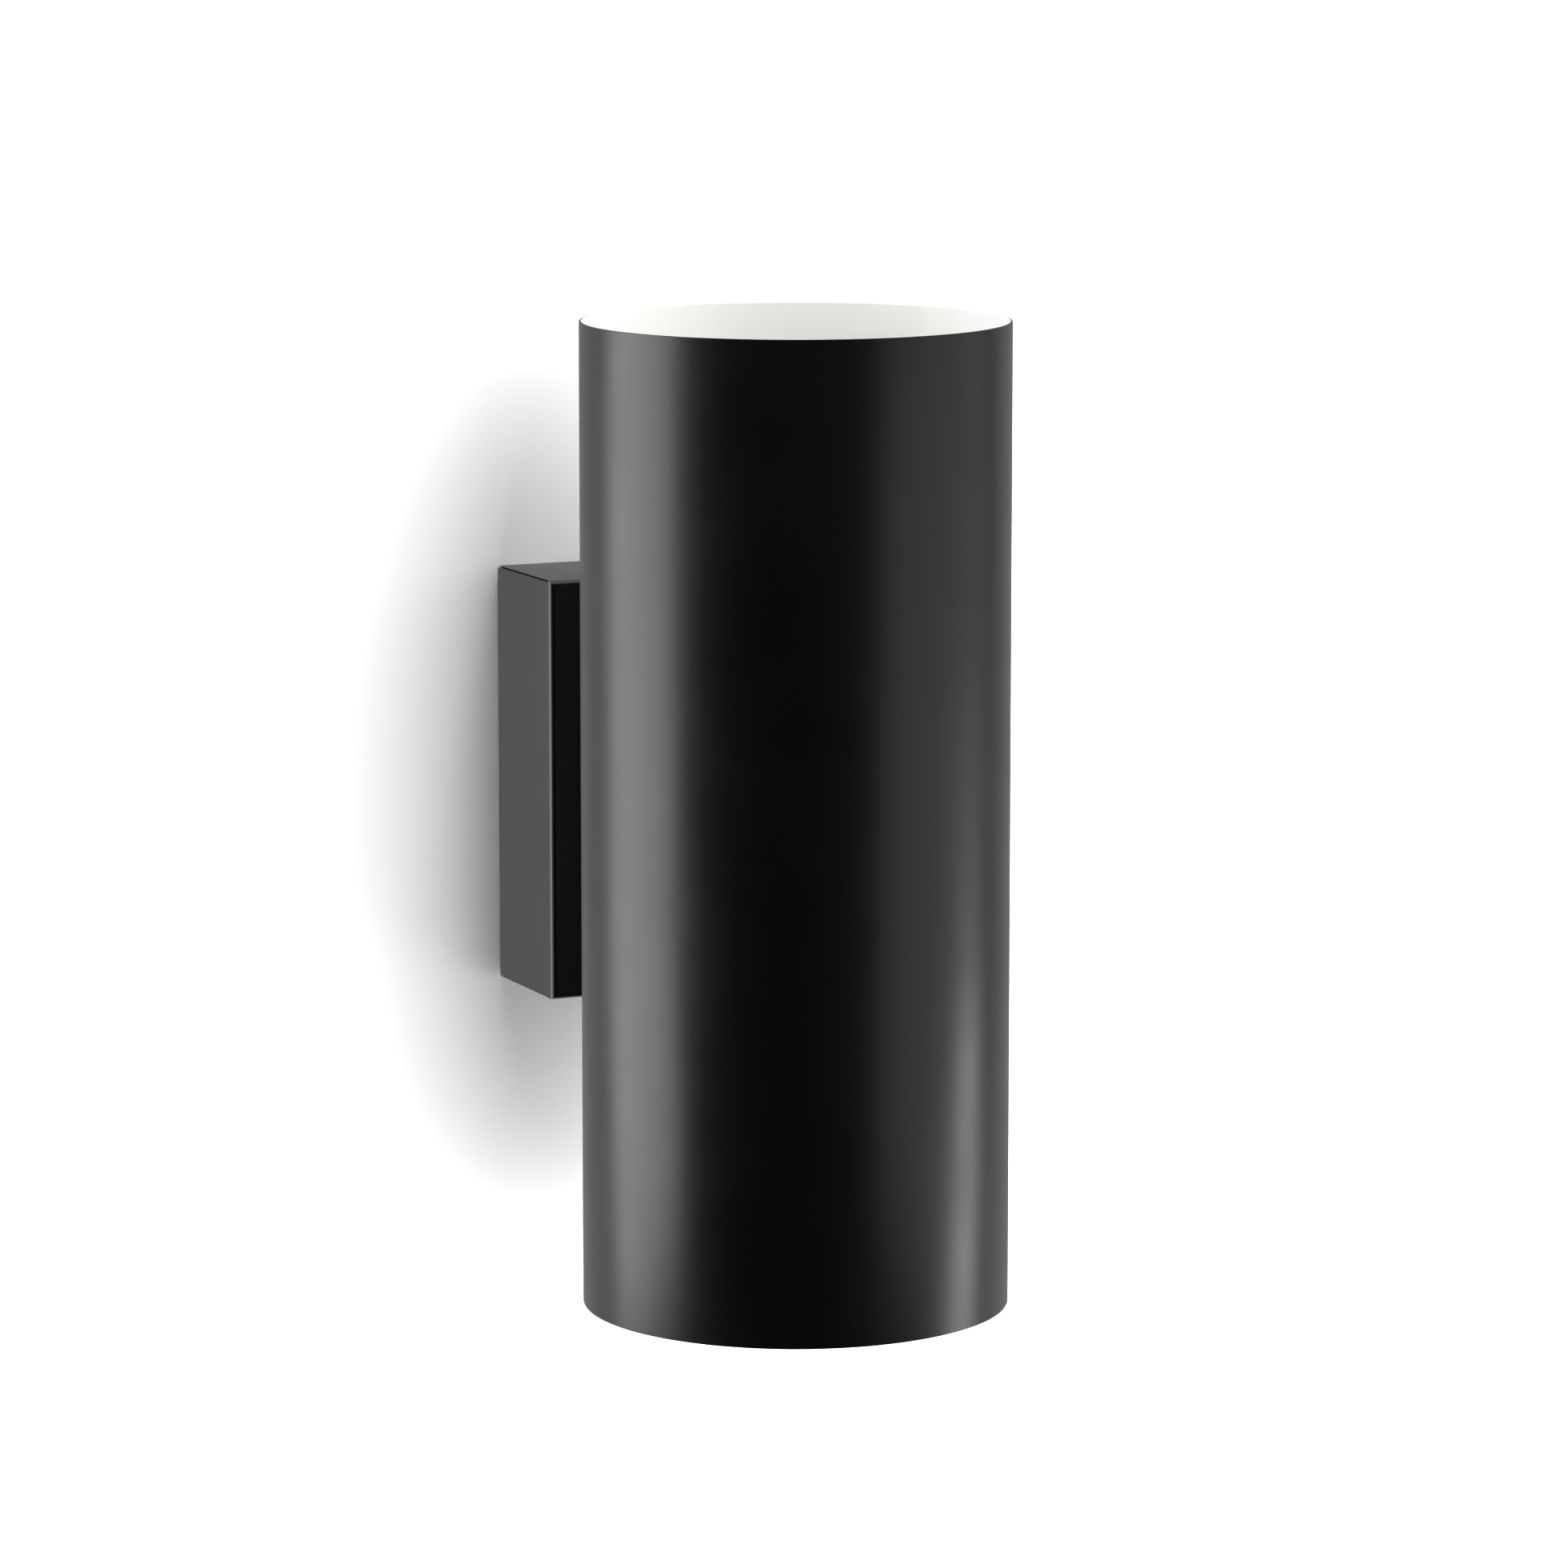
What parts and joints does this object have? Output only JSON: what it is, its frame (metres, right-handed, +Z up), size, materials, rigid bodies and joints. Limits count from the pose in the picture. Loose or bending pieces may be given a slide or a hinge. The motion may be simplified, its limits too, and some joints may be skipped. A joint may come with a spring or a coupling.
{
  "type": "tube wall light",
  "caption": "Wall light with an upright tube, open at both ends, that lights up and down; a small folded box holds it off the wall.",
  "frame": {"origin": "middle of the wall bracket's back face, on the wall", "axes": "+X right along the wall seen from the room, +Y into the wall, +Z up"},
  "size_m": [0.11, 0.1525, 0.254],
  "materials": {
    "black_powder_coat": "satin black powder coat, white inside the tube",
    "black_screw_steel": "blackened steel",
    "zinc_plated_steel": "bright zinc plate",
    "black_rubber": "matt",
    "natural_nylon": "moulded, slightly translucent",
    "white_thermoplastic": "moulded, fine matt",
    "brass": "pressed, bright",
    "phosphor_bronze": "rolled spring strip",
    "tinned_copper": "tinned",
    "nickel_plated_brass": "nickel plate",
    "black_insulator": "gloss",
    "opal_plastic": "opal, smooth",
    "white_lamp_plastic": "moulded, satin",
    "white_board": "solder resist",
    "brown_insulation": "silicone",
    "blue_insulation": "silicone",
    "green_yellow_insulation": "silicone, two colours"
  },
  "bodies": {
    "wall side": {"wall_bracket": "zinc_plated_steel", "lock_nuts": "zinc_plated_steel", "cable_grommet": "black_rubber"},
    "upper lock screw": {"upper_lock_screw": "black_screw_steel"},
    "lower lock screw": {"lower_lock_screw": "black_screw_steel"},
    "fitting": {"canopy": "black_powder_coat", "saddle": "black_powder_coat", "tube": "black_powder_coat", "lampholder_bracket": "zinc_plated_steel", "press_nuts": "zinc_plated_steel", "tube_screws": "zinc_plated_steel", "tube_washers": "zinc_plated_steel", "wire_bush": "natural_nylon", "upper_holder_body": "white_thermoplastic", "lower_holder_body": "white_thermoplastic", "upper_holder_shell": "brass", "lower_holder_shell": "brass", "upper_holder_spring": "phosphor_bronze", "lower_holder_spring": "phosphor_bronze", "holder_terminal_screws": "zinc_plated_steel", "holder_fixing_screws": "zinc_plated_steel", "terminal_block": "natural_nylon", "terminal_inserts": "brass", "terminal_clamp_screws": "zinc_plated_steel", "terminal_studs": "zinc_plated_steel", "terminal_nuts": "zinc_plated_steel", "earth_stud": "zinc_plated_steel", "earth_washer": "zinc_plated_steel", "earth_ring_terminal": "tinned_copper", "earth_nut": "zinc_plated_steel", "upper_live_wire": "brown_insulation", "lower_live_wire": "brown_insulation", "upper_neutral_wire": "blue_insulation", "lower_neutral_wire": "blue_insulation", "earth_wire": "green_yellow_insulation"},
    "upper lamp": {"upper_lamp_globe": "opal_plastic", "upper_lamp_housing": "white_lamp_plastic", "upper_lamp_board": "white_board", "upper_lamp_cap": "nickel_plated_brass", "upper_lamp_insulator": "black_insulator", "upper_lamp_contact": "tinned_copper"},
    "lower lamp": {"lower_lamp_globe": "opal_plastic", "lower_lamp_housing": "white_lamp_plastic", "lower_lamp_board": "white_board", "lower_lamp_cap": "nickel_plated_brass", "lower_lamp_insulator": "black_insulator", "lower_lamp_contact": "tinned_copper"}
  },
  "joints": [
    {"name": "fitting_pull_off", "type": "slide", "parent": "wall side", "child": "fitting", "axis": [0, -1, 0], "range_m": [0, 0.06]},
    {"name": "upper_lock_screw_out", "type": "slide", "parent": "wall side", "child": "upper lock screw", "axis": [0, 0, 1], "range_m": [0, 0.003]},
    {"name": "lower_lock_screw_out", "type": "slide", "parent": "wall side", "child": "lower lock screw", "axis": [0, 0, -1], "range_m": [0, 0.003]},
    {"name": "upper_lamp_out", "type": "slide", "parent": "fitting", "child": "upper lamp", "axis": [0, 0, 1], "range_m": [0, 0.095]},
    {"name": "lower_lamp_out", "type": "slide", "parent": "fitting", "child": "lower lamp", "axis": [0, 0, -1], "range_m": [0, 0.095]}
  ]
}
